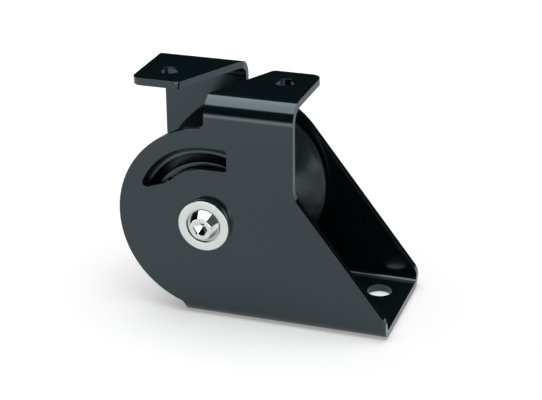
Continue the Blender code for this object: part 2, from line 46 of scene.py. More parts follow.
SHEET = 0.0032
CAGE_WIDTH = 0.0564
CAGE_HEIGHT = 0.0992
AXLE_HEIGHT = 0.0436
FOOT_RADIUS = 0.0022
HEAD_RADIUS = 0.0056
FOOT_STEPS = 12
HEAD_STEPS = 20
BURR_RADIUS = 0.00012
ROUND_CENTRE = Vector((0.0023, AXLE_HEIGHT + 0.0007))
ROUND_RADIUS = 0.0416
SLOPE_ANGLE = math.radians(52.2)
SLOPE = Vector((math.sin(SLOPE_ANGLE), math.cos(SLOPE_ANGLE)))
NOTCH_RADIUS = 0.003
HEEL_NOTCH_X = -0.0134
TOE_X = 0.0786
TOE_RADIUS = 0.008
ARM_X = 0.0383
SHOULDER_RADIUS = 0.010
TAB_LENGTH = 0.0414
TAB_INNER_X = 0.0167
SLANT_START = 0.0021
INNER_CORNER = 0.0024
OUTER_CORNER = 0.0046
AXLE_HOLE = 0.008
TAB_HOLE = 0.0043
TAB_BOLT_X = 0.026
BASE_HOLE = 0.0055
BASE_BOLT_X = 0.0655
BASE_BOLT_Y = 0.0108
WELD = 0.000001

foot_flat = CAGE_WIDTH / 2 - FOOT_RADIUS - SHEET
foot_end = foot_flat + math.pi / 2 * (FOOT_RADIUS + SHEET / 2)
side_end = foot_end + CAGE_HEIGHT - FOOT_RADIUS - HEAD_RADIUS - 2 * SHEET
head_end = side_end + math.pi / 2 * (HEAD_RADIUS + SHEET / 2)


def arc(centre, start, end, clockwise, step=math.radians(3)):
    """Points about a centre from start to end."""
    centre, start, end = Vector(centre), Vector(start), Vector(end)
    first = math.atan2(*reversed(start - centre))
    turn = (math.atan2(*reversed(end - centre)) - first) % (2 * math.pi)
    if clockwise:
        turn -= 2 * math.pi
    count = max(3, math.ceil(abs(turn) / step))
    radius = (start - centre).length
    angles = [first + turn * i / count for i in range(count + 1)]
    return [centre + radius * Vector((math.cos(a), math.sin(a))) for a in angles]


def corner(before, at, after, radius):
    """A rounded corner between two straight edges."""
    at = Vector(at)
    back, on = (Vector(before) - at).normalized(), (Vector(after) - at).normalized()
    half = back.angle(on) / 2
    centre = at + (back + on).normalized() * radius / math.sin(half)
    setback = radius / math.tan(half)
    turn_right = back.x * on.y - back.y * on.x > 0
    return arc(centre, at + back * setback, at + on * setback, turn_right)


def beside(centre, reach, x, above):
    """The point at x on a circle about a centre."""
    rise = math.sqrt(reach ** 2 - (x - centre.x) ** 2)
    return Vector((x, centre.y + (rise if above else -rise)))


def toward(centre, radius, place):
    """Where the line from a centre to a place leaves a circle."""
    return centre + (place - centre).normalized() * radius


def slope_at(x):
    """Height of the sloping edge, which touches the far plate's round end."""
    mirrored = Vector((-ROUND_CENTRE.x, ROUND_CENTRE.y))
    return (mirrored.dot(SLOPE) + ROUND_RADIUS - x * SLOPE.x) / SLOPE.y


def to_blank(points):
    """From heights on a side plate to distances from the base's middle line."""
    rise = foot_end - FOOT_RADIUS - SHEET
    return [Vector((p.x, p.y + rise)) for p in points]


def heel_edge():
    """The notch at the base's left end, up to the round end."""
    notch = beside(ROUND_CENTRE, ROUND_RADIUS + NOTCH_RADIUS, HEEL_NOTCH_X, False)
    edge = notch + Vector((NOTCH_RADIUS, 0))
    return arc(notch, edge, toward(ROUND_CENTRE, ROUND_RADIUS, notch), False)


def toe_edge():
    """The rounded foot of the slope, at the base's right end."""
    end = Vector((TOE_X, slope_at(TOE_X)))
    return corner((0, slope_at(0)), end, end - Vector((0, 1)), TOE_RADIUS)


def arm_root(side):
    """Where the round end runs into the arm."""
    centre = Vector((side * ROUND_CENTRE.x, ROUND_CENTRE.y))
    notch = beside(centre, ROUND_RADIUS + NOTCH_RADIUS, -side * NOTCH_RADIUS, True)
    edge = notch + Vector((side * NOTCH_RADIUS, 0))
    return arc(notch, toward(centre, ROUND_RADIUS, notch), edge, side < 0)


def tab_edge(side):
    """A tab's slanted edge, its end and its outer edge."""
    reach = head_end + TAB_LENGTH - HEAD_RADIUS - SHEET
    start = Vector((0, head_end - SLANT_START))
    inner, outer = Vector((side * TAB_INNER_X, reach)), Vector((side * ARM_X, reach))
    points = [start] + corner(start, inner, outer, INNER_CORNER)
    return points + corner(inner, outer, outer - Vector((0, 1)), OUTER_CORNER)


def near_edge():
    """The near half of the blank, from the left end of the base to its right end."""
    root = arm_root(1)
    shoulder = Vector((ARM_X, slope_at(ARM_X)))
    points = heel_edge()
    points += arc(ROUND_CENTRE, points[-1], root[0], True) + root
    points = to_blank(points) + tab_edge(1)
    down = corner(shoulder + Vector((0, 1)), shoulder, (TOE_X, slope_at(TOE_X)), SHOULDER_RADIUS)
    return points + to_blank(down + toe_edge())


def far_edge():
    """The far half, whose arm stands over the round end."""
    centre = Vector((-ROUND_CENTRE.x, ROUND_CENTRE.y))
    root = list(reversed(arm_root(-1)))
    points = heel_edge()
    points += arc(ROUND_CENTRE, points[-1], beside(ROUND_CENTRE, ROUND_RADIUS, -ARM_X, True), True)
    points = to_blank(points) + list(reversed(tab_edge(-1))) + to_blank(root)
    return points + to_blank(arc(centre, root[-1], centre + SLOPE * ROUND_RADIUS, True) + toe_edge())


def slot_edge(side):
    """An arc slot, cut off upright at the arm, with a tilted floor at its pointed end."""
    outer, inner, blunt, tip_radius, throat_radius = 0.0305, 0.02075, 0.0011, 0.0018, 0.012
    arm_end, floor_rise, tilt = 0.0096, 0.01205, math.radians(18.9)
    centre = Vector((-0.0003, AXLE_HEIGHT + 0.00325))
    high = Vector((arm_end - blunt, centre.y + outer - blunt))
    low = Vector((arm_end - blunt, centre.y + inner + blunt))
    across, upright = Vector((blunt, 0)), Vector((0, blunt))
    along = Vector((math.cos(tilt), math.sin(tilt)))
    up = Vector((-along.y, along.x))
    floor_height = AXLE_HEIGHT + floor_rise
    floor_x = centre.x - math.sqrt(outer ** 2 - (floor_height - centre.y) ** 2)
    centres = []
    for reach, lift in ((outer - tip_radius, tip_radius), (inner + throat_radius, throat_radius)):
        start = Vector((floor_x, floor_height)) + up * lift
        near = (centre - start).dot(along)
        off = (start + along * near - centre).length
        centres.append(start + along * (near - math.sqrt(reach ** 2 - off ** 2)))
    tip, throat = centres
    points = arc(high, high + across, high + upright, False)
    points += arc(centre, centre + Vector((0, outer)), toward(centre, outer, tip), False)
    points += arc(tip, points[-1], tip - up * tip_radius, False)
    points += arc(throat, throat - up * throat_radius, toward(centre, inner, throat), False)
    points += arc(centre, points[-1], centre + Vector((0, inner)), True)
    points += arc(low, low - upright, low + across, False)
    return [Vector((side * p.x, p.y)) for p in to_blank(points)]


def ring(x, y, radius, count=64):
    """The edge of a round hole."""
    turns = [2 * math.pi * i / count for i in range(count)]
    return [Vector((x + radius * math.cos(a), y + radius * math.sin(a))) for a in turns]


def mirrored(points):
    """The same edge on the near side of the blank."""
    return [Vector((p.x, -p.y)) for p in points]


def fold_tree():
    """Folds a flat blank lying in the XY plane, round fold lines that run along X."""
    tree = bpy.data.node_groups.new("fold the sheet", "GeometryNodeTree")
    tree.is_modifier = True
    face = tree.interface
    face.new_socket("Geometry", in_out="INPUT", socket_type="NodeSocketGeometry")
    for name in ("Width", "Height", "Sheet", "Foot radius", "Head radius"):
        face.new_socket(name, in_out="INPUT", socket_type="NodeSocketFloat")
    face.new_socket("Material", in_out="INPUT", socket_type="NodeSocketMaterial")
    face.new_socket("Geometry", in_out="OUTPUT", socket_type="NodeSocketGeometry")
    nodes, links = tree.nodes, tree.links
    given = nodes.new("NodeGroupInput").outputs

    def maths(operation, *values):
        node = nodes.new("ShaderNodeMath")
        node.operation = operation
        for slot, value in zip(node.inputs, values):
            if isinstance(value, (int, float)):
                slot.default_value = value
            else:
                links.new(value, slot)
        return node.outputs[0]

    place = nodes.new("GeometryNodeInputPosition").outputs[0]
    parts = nodes.new("ShaderNodeSeparateXYZ")
    links.new(place, parts.inputs[0])
    side = maths("SIGN", parts.outputs["Y"])
    run = maths("ABSOLUTE", parts.outputs["Y"])
    proud = maths("MULTIPLY", parts.outputs["Z"], -1.0)
    half = maths("MULTIPLY", given["Sheet"], 0.5)
    foot_mid = maths("ADD", given["Foot radius"], half)
    head_mid = maths("ADD", given["Head radius"], half)
    foot_outer = maths("ADD", given["Foot radius"], given["Sheet"])
    head_outer = maths("ADD", given["Head radius"], given["Sheet"])
    half_width = maths("MULTIPLY", given["Width"], 0.5)
    base_flat = maths("SUBTRACT", half_width, foot_outer)
    plate = maths("SUBTRACT", given["Height"], maths("ADD", foot_outer, head_outer))
    # Each stretch of the blank in turn: how far the point has gone along it.
    foot_run = maths("MULTIPLY", foot_mid, math.pi / 2)
    head_run = maths("MULTIPLY", head_mid, math.pi / 2)
    in_base = maths("MINIMUM", run, base_flat)
    past_base = maths("SUBTRACT", run, base_flat)
    in_foot = maths("MINIMUM", maths("MAXIMUM", past_base, 0.0), foot_run)
    past_foot = maths("SUBTRACT", past_base, foot_run)
    in_plate = maths("MINIMUM", maths("MAXIMUM", past_foot, 0.0), plate)
    past_plate = maths("SUBTRACT", past_foot, plate)
    in_head = maths("MINIMUM", maths("MAXIMUM", past_plate, 0.0), head_run)
    in_tab = maths("MAXIMUM", maths("SUBTRACT", past_plate, head_run), 0.0)
    foot_turn = maths("DIVIDE", in_foot, foot_mid)
    head_turn = maths("DIVIDE", in_head, head_mid)
    turn = maths("ADD", foot_turn, head_turn)
    # The sheet's middle surface, and then the point's own distance outwards from it.
    foot_out = maths("MULTIPLY", foot_mid, maths("SINE", foot_turn))
    foot_up = maths("SUBTRACT", foot_mid, maths("MULTIPLY", foot_mid, maths("COSINE", foot_turn)))
    head_in = maths("SUBTRACT", head_mid, maths("MULTIPLY", head_mid, maths("COSINE", head_turn)))
    out = maths("SUBTRACT", maths("ADD", in_base, foot_out), head_in)
    out = maths("SUBTRACT", out, in_tab)
    out = maths("ADD", out, maths("MULTIPLY", proud, maths("SINE", turn)))
    up = maths("ADD", maths("ADD", half, foot_up), in_plate)
    up = maths("ADD", up, maths("MULTIPLY", head_mid, maths("SINE", head_turn)))
    up = maths("SUBTRACT", up, maths("MULTIPLY", proud, maths("COSINE", turn)))
    joined = nodes.new("ShaderNodeCombineXYZ")
    links.new(parts.outputs["X"], joined.inputs["X"])
    links.new(maths("MULTIPLY", side, out), joined.inputs["Y"])
    links.new(up, joined.inputs["Z"])
    move = nodes.new("GeometryNodeSetPosition")
    links.new(given["Geometry"], move.inputs["Geometry"])
    links.new(joined.outputs[0], move.inputs["Position"])
    finish_tree(tree, move.outputs[0], given["Material"])
    return tree


def finish_tree(tree, geometry, finish):
    """Ends a tree in Realize Instances and Set Material."""
    real = tree.nodes.new("GeometryNodeRealizeInstances")
    coat = tree.nodes.new("GeometryNodeSetMaterial")
    end = tree.nodes.new("NodeGroupOutput")
    tree.links.new(geometry, real.inputs[0])
    tree.links.new(real.outputs[0], coat.inputs["Geometry"])
    tree.links.new(finish, coat.inputs["Material"])
    tree.links.new(coat.outputs[0], end.inputs[0])


def grown(name, mesh, tree, **given):
    """Runs a tree on a mesh and keeps the result as a plain mesh."""
    raw = bpy.data.objects.new(name + "_raw", mesh)
    bpy.context.scene.collection.objects.link(raw)
    modifier = raw.modifiers.new("nodes", "NODES")
    modifier.node_group = tree
    for item in tree.interface.items_tree:
        if item.in_out == "INPUT" and item.name in given:
            modifier[item.identifier] = given[item.name]
    graph = bpy.context.evaluated_depsgraph_get()
    made = bpy.data.meshes.new_from_object(raw.evaluated_get(graph))
    bpy.data.objects.remove(raw, do_unlink=True)
    piece = bpy.data.objects.new(name, made)
    bpy.context.scene.collection.objects.link(piece)
    return piece


def new_finish(name, colour, metallic, roughness, tint=(1, 1, 1), **sockets):
    """A material whose shader's plain sockets are set; what varies is linked later."""
    finish = bpy.data.materials.new(name)
    finish.use_nodes = True
    shader = finish.node_tree.nodes["Principled BSDF"]
    shader.inputs["Base Color"].default_value = (*colour, 1)
    shader.inputs["Metallic"].default_value = metallic
    shader.inputs["Roughness"].default_value = roughness
    shader.inputs["Specular Tint"].default_value = (*tint, 1)
    for socket, value in sockets.items():
        shader.inputs[socket].default_value = value
    return finish, shader


def wired(finish, kind, inputs=(), **settings):
    """One node of a material, with its values set or its inputs linked."""
    node = finish.node_tree.nodes.new(kind)
    for name, value in settings.items():
        setattr(node, name, value)
    for key, value in dict(inputs).items():
        if isinstance(value, bpy.types.NodeSocket):
            finish.node_tree.links.new(value, node.inputs[key])
        else:
            node.inputs[key].default_value = value
    return node


def on_object(finish):
    """Object coordinates, in metres of the block's own frame."""
    return wired(finish, "ShaderNodeTexCoord").outputs["Object"]


def reckoned(finish, operation, *values):
    """One sum worked out in a material."""
    return wired(finish, "ShaderNodeMath", dict(enumerate(values)), operation=operation).outputs[0]


def spread(finish, value, low, high, start=0.3, end=0.7):
    """Maps what lies between start and end onto a range."""
    keys = {"Value": value, "From Min": start, "From Max": end, "To Min": low, "To Max": high}
    return wired(finish, "ShaderNodeMapRange", keys).outputs["Result"]


def noise(finish, place, scale, detail, **more):
    """A noise with so many grains to the metre."""
    keys = {"Vector": place, "Scale": scale, "Detail": detail, **more}
    return wired(finish, "ShaderNodeTexNoise", keys).outputs["Fac"]


def mottled(finish, scale, detail, low, high):
    """A roughness that varies softly from place to place, between two values."""
    return spread(finish, noise(finish, on_object(finish), scale, detail), low, high)


def bumped(finish, height, distance, strength):
    """A bump of a given depth."""
    keys = {"Height": height, "Distance": distance, "Strength": strength}
    return wired(finish, "ShaderNodeBump", keys).outputs[0]


def vary(finish, shader, **values):
    """Links what varies over a finish to the sockets of its shader."""
    for socket, value in values.items():
        finish.node_tree.links.new(value, shader.inputs[socket])


# Satin powder coat: nearly smooth, with a shallow orange peel about 1.5 mm across, a finer
# dimple in it, and a gloss that varies a little from place to place.
black_coat, shader = new_finish(
    "black_coat", (0.0035, 0.0075, 0.0085), metallic=0.0, roughness=0.15,
    tint=(0.74, 0.92, 1.0), IOR=1.63,
)
peel = noise(black_coat, on_object(black_coat), 650.0, 2.0)
vary(
    black_coat, shader,
    Roughness=mottled(black_coat, 40.0, 3.0, 0.11, 0.16),
    Normal=bumped(black_coat, peel, 0.00001, 0.25),
)

blank = bpy.data.curves.new("blank", "CURVE")
blank.dimensions = "2D"
blank.fill_mode = "BOTH"
blank.bevel_depth = BURR_RADIUS
blank.bevel_resolution = 2
blank.offset = -BURR_RADIUS
blank.extrude = SHEET / 2 - BURR_RADIUS
hub = foot_end + AXLE_HEIGHT - FOOT_RADIUS - SHEET
bolt = head_end + CAGE_WIDTH / 2 - HEAD_RADIUS - SHEET
edges = [
    mirrored(near_edge()) + list(reversed(far_edge())),
    mirrored(slot_edge(1)),
    slot_edge(-1),
    ring(0, -hub, AXLE_HOLE),
    ring(0, hub, AXLE_HOLE),
    ring(TAB_BOLT_X, -bolt, TAB_HOLE),
    ring(-TAB_BOLT_X, bolt, TAB_HOLE),
    ring(BASE_BOLT_X, -BASE_BOLT_Y, BASE_HOLE),
    ring(BASE_BOLT_X, BASE_BOLT_Y, BASE_HOLE),
]
closest = 0.00002
for edge in edges:
    kept = [p for i, p in enumerate(edge) if (p - edge[i - 1]).length > closest]
    spline = blank.splines.new("POLY")
    spline.points.add(len(kept) - 1)
    spline.use_cyclic_u = True
    for point, at in zip(spline.points, kept):
        point.co = (at.x, at.y, 0, 1)
guide = bpy.data.objects.new("blank", blank)
bpy.context.scene.collection.objects.link(guide)
graph = bpy.context.evaluated_depsgraph_get()
flat = bpy.data.meshes.new_from_object(guide.evaluated_get(graph))
bpy.data.objects.remove(guide, do_unlink=True)

bm = bmesh.new()
bm.from_mesh(flat)
bmesh.ops.remove_doubles(bm, verts=bm.verts, dist=WELD)
bmesh.ops.recalc_face_normals(bm, faces=bm.faces)
creases = [foot_flat + (foot_end - foot_flat) * i / FOOT_STEPS for i in range(FOOT_STEPS + 1)]
creases += [side_end + (head_end - side_end) * i / HEAD_STEPS for i in range(HEAD_STEPS + 1)]
for crease in creases:
    for side in (-1, 1):
        everything = bm.verts[:] + bm.edges[:] + bm.faces[:]
        bmesh.ops.bisect_plane(
            bm, geom=everything, dist=0.0000001,
            plane_co=(0, side * crease, 0), plane_no=(0, 1, 0),
        )
bm.to_mesh(flat)
bm.free()
cage = grown(
    "folded_cage", flat, fold_tree(), Width=CAGE_WIDTH, Height=CAGE_HEIGHT, Sheet=SHEET,
    Material=black_coat, **{"Foot radius": FOOT_RADIUS, "Head radius": HEAD_RADIUS},
)
cage.data.shade_smooth()
weighted = cage.modifiers.new("weighted", "WEIGHTED_NORMAL")
weighted.weight = 100
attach(cage, "cage")
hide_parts("cage")


# The sheave: turned from aluminium bar with a wide, shallow groove for the line, a slightly
# conical side with a rounded crest, and a deep channel between that and the thrust ring's
# seat, then hard anodised black.

SHEAVE_RADIUS = 0.0375
SHEAVE_BORE = 0.0176
RIM_FACE = 0.0231
RIM_WIDTH = 0.0026
RIM_EDGE = 0.0008
SIDE_TURN = 82
GROOVE_FLOOR = 0.0265
GROOVE_STEPS = 24
CREST_FACE = 0.0243
CREST_RADIUS = 0.0008
BROW_CENTRE = (0.029614, 0.019339)
BROW_RADIUS = 0.005
CONE = [(0.0326, 0.02354), (0.0330, 0.02343)]
CHANNEL_OUTER = 0.0294
CHANNEL_INNER = 0.0262
CHANNEL_FLOOR = 0.0155
CHANNEL_ROUND = 0.0006
THRUST_SEAT = 0.0202
SEAT_EDGE = 0.0002
SHARP_ANGLE = math.radians(28)


def lathe_tree():
    """Turns a closed profile of (radius, distance along the axle) about the axle."""
    tree = bpy.data.node_groups.new("turn about the axle", "GeometryNodeTree")
    tree.is_modifier = True
    face = tree.interface
    face.new_socket("Geometry", in_out="INPUT", socket_type="NodeSocketGeometry")
    face.new_socket("Facets", in_out="INPUT", socket_type="NodeSocketInt")
    face.new_socket("Axle height", in_out="INPUT", socket_type="NodeSocketFloat")
    face.new_socket("Material", in_out="INPUT", socket_type="NodeSocketMaterial")
    face.new_socket("Geometry", in_out="OUTPUT", socket_type="NodeSocketGeometry")
    nodes, links = tree.nodes, tree.links
    given = nodes.new("NodeGroupInput").outputs
    profile = nodes.new("GeometryNodeMeshToCurve")
    links.new(given["Geometry"], profile.inputs["Mesh"])
    path_radius = 0.001
    inset = nodes.new("GeometryNodeTransform")
    inset.inputs["Translation"].default_value = (-path_radius, 0, 0)
    links.new(profile.outputs[0], inset.inputs["Geometry"])
    path = nodes.new("GeometryNodeCurvePrimitiveCircle")
    path.inputs["Radius"].default_value = path_radius
    links.new(given["Facets"], path.inputs["Resolution"])
    skin = nodes.new("GeometryNodeCurveToMesh")
    links.new(path.outputs["Curve"], skin.inputs["Curve"])
    links.new(inset.outputs[0], skin.inputs["Profile Curve"])
    lay = nodes.new("GeometryNodeTransform")
    lay.inputs["Rotation"].default_value = (-math.pi / 2, 0, 0)
    lift = nodes.new("ShaderNodeCombineXYZ")
    links.new(given["Axle height"], lift.inputs["Z"])
    links.new(lift.outputs[0], lay.inputs["Translation"])
    links.new(skin.outputs[0], lay.inputs["Geometry"])
    finish_tree(tree, lay.outputs[0], given["Material"])
    return tree


lathe = lathe_tree()


def turned(name, profile, finish, facets=160):
    """A piece turned from its profile, with its faces outwards."""
    mesh = bpy.data.meshes.new(name + "_profile")
    count = len(profile)
    pairs = [(i, (i + 1) % count) for i in range(count)]
    mesh.from_pydata([(radius, along, 0) for radius, along in profile], pairs, [])
    piece = grown(
        name, mesh, lathe, Facets=facets, Material=finish, **{"Axle height": AXLE_HEIGHT}
    )
    bm = bmesh.new()
    bm.from_mesh(piece.data)
    bmesh.ops.remove_doubles(bm, verts=bm.verts, dist=WELD)
    loose = [edge for edge in bm.edges if not edge.link_faces]
    bmesh.ops.delete(bm, geom=loose, context="EDGES")
    bmesh.ops.recalc_face_normals(bm, faces=bm.faces)
    bm.to_mesh(piece.data)
    bm.free()
    piece.data.shade_smooth()
    piece.data.set_sharp_from_angle(angle=SHARP_ANGLE)
    return piece


def fillet(out, along, radius, first, last, steps=6):
    """A rounded edge of a profile about (out, along), between two angles in degrees."""
    turns = [math.radians(first + (last - first) * i / steps) for i in range(steps + 1)]
    return [(out + radius * math.cos(a), along + radius * math.sin(a)) for a in turns]


def turning_marks(finish, pitch, depth):
    """Fine marks left by the lathe: rings about the axle, as a bump."""
    x, y, z = wired(finish, "ShaderNodeSeparateXYZ", {"Vector": on_object(finish)}).outputs
    lifted = reckoned(finish, "SUBTRACT", z, AXLE_HEIGHT)
    squares = [reckoned(finish, "POWER", value, 2.0) for value in (x, lifted)]
    reach = reckoned(finish, "SQRT", reckoned(finish, "ADD", *squares))
    rings = wired(finish, "ShaderNodeCombineXYZ", {"X": reach, "Y": y}).outputs[0]
    return bumped(finish, noise(finish, rings, 1 / pitch, 3.0, Roughness=0.6), depth, 0.5)


anodised, shader = new_finish(
    "hard_anodised", (0.011, 0.0155, 0.017), metallic=0.0, roughness=0.24,
    tint=(0.8, 0.95, 1.0), IOR=1.5,
)
vary(
    anodised, shader,
    Roughness=mottled(anodised, 60.0, 3.0, 0.25, 0.30),
    Normal=turning_marks(anodised, pitch=0.0002, depth=0.000004),
)

groove_half = RIM_FACE - RIM_WIDTH
groove_depth = SHEAVE_RADIUS - GROOVE_FLOOR
groove_radius = (groove_half ** 2 + groove_depth ** 2) / (2 * groove_depth)
groove_reach = math.asin(groove_half / groove_radius)
crest = (CHANNEL_OUTER + CREST_RADIUS, CREST_FACE - CREST_RADIUS)
rim = (SHEAVE_RADIUS - RIM_EDGE, RIM_FACE - RIM_EDGE)
corner_centre = (CHANNEL_OUTER - CHANNEL_ROUND, CHANNEL_FLOOR + CHANNEL_ROUND)
upper = [(SHEAVE_BORE, 0), (SHEAVE_BORE, THRUST_SEAT), (CHANNEL_INNER - SEAT_EDGE, THRUST_SEAT)]
upper += [(CHANNEL_INNER, THRUST_SEAT - SEAT_EDGE), (CHANNEL_INNER, CHANNEL_FLOOR)]
upper += fillet(*corner_centre, CHANNEL_ROUND, -90, 0, 4)
# The crest runs over a wide, gentle brow into the cone of the side.
upper += fillet(*crest, CREST_RADIUS, 180, SIDE_TURN, 10)
upper += fillet(*BROW_CENTRE, BROW_RADIUS, 80, 69, 6)
upper += CONE
upper += fillet(*rim, RIM_EDGE, SIDE_TURN, 0)
upper += fillet(rim[0], groove_half + RIM_EDGE, RIM_EDGE, 0, -math.degrees(groove_reach))
for i in range(1, GROOVE_STEPS + 1):
    turn = groove_reach * (1 - i / GROOVE_STEPS)
    out = GROOVE_FLOOR + groove_radius * (1 - math.cos(turn))
    upper.append((out, groove_radius * math.sin(turn)))
lower = [(out, -along) for out, along in reversed(upper[1:-1])]
sheave = turned("turned_sheave", upper + lower, anodised, 200)
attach(sheave, "sheave")
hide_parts("sheave")


# The roller bearing: fourteen plain plastic rollers in a retainer, running between the
# axle and the sheave's bore. They are pushed in from the side and held by the rings.

ROLLER_COUNT = 14
ROLLER_RADIUS = 0.0025
ROLLER_LENGTH = 0.034
ROLLER_EDGE = 0.0004
PITCH_RADIUS = 0.0148


def roller_tree():
    """Sets a roller, given as a mesh along Y, at even steps round the axle."""
    tree = bpy.data.node_groups.new("set the rollers round", "GeometryNodeTree")
    tree.is_modifier = True
    face = tree.interface
    face.new_socket("Geometry", in_out="INPUT", socket_type="NodeSocketGeometry")
    face.new_socket("Count", in_out="INPUT", socket_type="NodeSocketInt")
    face.new_socket("Pitch radius", in_out="INPUT", socket_type="NodeSocketFloat")
    face.new_socket("Axle height", in_out="INPUT", socket_type="NodeSocketFloat")
    face.new_socket("Material", in_out="INPUT", socket_type="NodeSocketMaterial")
    face.new_socket("Geometry", in_out="OUTPUT", socket_type="NodeSocketGeometry")
    nodes, links = tree.nodes, tree.links
    given = nodes.new("NodeGroupInput").outputs
    circle = nodes.new("GeometryNodeMeshCircle")
    links.new(given["Count"], circle.inputs["Vertices"])
    links.new(given["Pitch radius"], circle.inputs["Radius"])
    stand = nodes.new("GeometryNodeTransform")
    stand.inputs["Rotation"].default_value = (math.pi / 2, 0, 0)
    lift = nodes.new("ShaderNodeCombineXYZ")
    links.new(given["Axle height"], lift.inputs["Z"])
    links.new(lift.outputs[0], stand.inputs["Translation"])
    links.new(circle.outputs[0], stand.inputs["Geometry"])
    copies = nodes.new("GeometryNodeInstanceOnPoints")
    links.new(stand.outputs[0], copies.inputs["Points"])
    links.new(given["Geometry"], copies.inputs["Instance"])
    finish_tree(tree, copies.outputs[0], given["Material"])
    return tree


roller_finish, shader = new_finish(
    "roller_plastic", (0.30, 0.22, 0.10), metallic=0.0, roughness=0.4, IOR=1.5
)
vary(roller_finish, shader, Roughness=mottled(roller_finish, 900.0, 2.0, 0.34, 0.48))

roller = bpy.data.meshes.new("roller")
bm = bmesh.new()
bmesh.ops.create_cone(
    bm, cap_ends=True, segments=32, depth=ROLLER_LENGTH, radius1=ROLLER_RADIUS,
    radius2=ROLLER_RADIUS, matrix=Matrix.Rotation(math.pi / 2, 4, "X"),
)
rims = [e for e in bm.edges if abs(e.verts[0].co.y - e.verts[1].co.y) < ROLLER_LENGTH / 2]
bmesh.ops.bevel(bm, geom=rims, offset=ROLLER_EDGE, segments=2, affect="EDGES")
bm.to_mesh(roller)
bm.free()
rollers = grown(
    "roller_ring", roller, roller_tree(), Count=ROLLER_COUNT, Material=roller_finish,
    **{"Pitch radius": PITCH_RADIUS, "Axle height": AXLE_HEIGHT},
)
rollers.data.shade_smooth()
rollers.data.set_sharp_from_angle(angle=math.radians(30))
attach(rollers, "roller_set")
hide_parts(*[f"roller_{i + 1:02d}" for i in range(ROLLER_COUNT)])


def refinish(name, finish):
    """Gives a finish to a piece that keeps the frame's own shape."""
    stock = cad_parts[name]
    stock.data.materials.clear()
    stock.data.materials.append(finish)


acetal, shader = new_finish(
    "black_acetal", (0.006, 0.009, 0.010), metallic=0.0, roughness=0.2,
    tint=(0.74, 0.92, 1.0), IOR=1.6,
)
vary(acetal, shader, Normal=turning_marks(acetal, pitch=0.00025, depth=0.000006))
refinish("roller_retainer", acetal)


# The thrust rings: two washers turned from black acetal, one in each side of the sheave.
# A spigot on the back of each centres it in the bore and keeps the rollers in, and its
# dished face leaves a narrow lip round the edge.

RING_RADIUS = 0.02595
RING_FACE = 0.0242
RING_BACK = 0.0205
RING_BORE = 0.0126
RING_EDGE = 0.0003
SPIGOT_RADIUS = 0.0173
SPIGOT_END = 0.0191
DISH_RADIUS = 0.0243
DISH_FACE = 0.0234
LIP_EDGE = 0.0001

for end, side in (("near", -1), ("far", 1)):
    profile = fillet(RING_RADIUS - RING_EDGE, RING_FACE - RING_EDGE, RING_EDGE, 90, 0, 4)
    profile += [(RING_RADIUS, RING_BACK), (SPIGOT_RADIUS, RING_BACK)]
    profile += [(SPIGOT_RADIUS, SPIGOT_END), (RING_BORE, SPIGOT_END)]
    profile += fillet(RING_BORE + RING_EDGE, DISH_FACE - RING_EDGE, RING_EDGE, 180, 90, 3)
    profile += [(DISH_RADIUS, DISH_FACE), (DISH_RADIUS, RING_FACE - LIP_EDGE)]
    profile += [(DISH_RADIUS + LIP_EDGE, RING_FACE)]
    profile = [(out, side * along) for out, along in profile]
    washer = turned(f"acetal_ring_{end}", profile, acetal)
    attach(washer, "sheave")
    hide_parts(f"thrust_ring_{end}")


# The axle: a stainless tube between the side plates, which is the rollers' inner race.
# A flanged cap enters each end through its plate, and a screw clamps all of it.

CAP_FACE = 0.0316
CAP_RADIUS = 0.01115
CAP_EDGE = 0.0003
CAP_BORE = 0.00505
FLANGE_DEPTH = 0.0031
RECESS_RADIUS = 0.00755
RECESS_DEPTH = 0.0008
STEM_RADIUS = 0.0077
STEM_END = 0.0216
EDGE_BREAK = 0.0002

stainless, shader = new_finish("satin_stainless", (0.60, 0.645, 0.63), metallic=1.0, roughness=0.24)
vary(
    stainless, shader,
    Roughness=mottled(stainless, 300.0, 4.0, 0.20, 0.28),
    Normal=turning_marks(stainless, pitch=0.00008, depth=0.000002),
)
refinish("axle", stainless)

flange_back = CAP_FACE - FLANGE_DEPTH
recess_floor = CAP_FACE - RECESS_DEPTH
for end, side in (("near", -1), ("far", 1)):
    profile = fillet(CAP_RADIUS - CAP_EDGE, CAP_FACE - CAP_EDGE, CAP_EDGE, 90, 0, 5)
    profile += fillet(CAP_RADIUS - EDGE_BREAK, flange_back + EDGE_BREAK, EDGE_BREAK, 0, -90, 3)
    profile += [(STEM_RADIUS, flange_back), (STEM_RADIUS, STEM_END), (CAP_BORE, STEM_END)]
    profile += [(CAP_BORE, recess_floor), (RECESS_RADIUS, recess_floor)]
    profile += fillet(RECESS_RADIUS + EDGE_BREAK, CAP_FACE - EDGE_BREAK, EDGE_BREAK, 180, 90, 3)
    profile = [(out, side * along) for out, along in profile]
    cap = turned(f"flanged_cap_{end}", profile, stainless)
    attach(cap, "cage")
    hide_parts(f"axle_cap_{end}")


# The screws: polished stainless, with a conical head, a flat crown and a hexagon socket
# with a pointed bottom. Each head sits in the shallow recess of its cap.

HEAD_REACH = 0.0072
HEAD_HEIGHT = 0.0039
HEAD_LAND = 0.0004
HEAD_GAP = 0.0003
CROWN_REACH = 0.0051
CROWN_ROUND = 0.0009
SHANK_RADIUS = 0.00475
SHANK_LENGTH = 0.025
KEY_SIZE = 0.0056
KEY_PROUD = 0.001
SOCKET_DEPTH = 0.0015
SOCKET_TIP = 0.0031

polished, shader = new_finish("polished_stainless", (0.60, 0.63, 0.615), metallic=1.0, roughness=0.06)
vary(polished, shader, Roughness=mottled(polished, 500.0, 3.0, 0.05, 0.10))

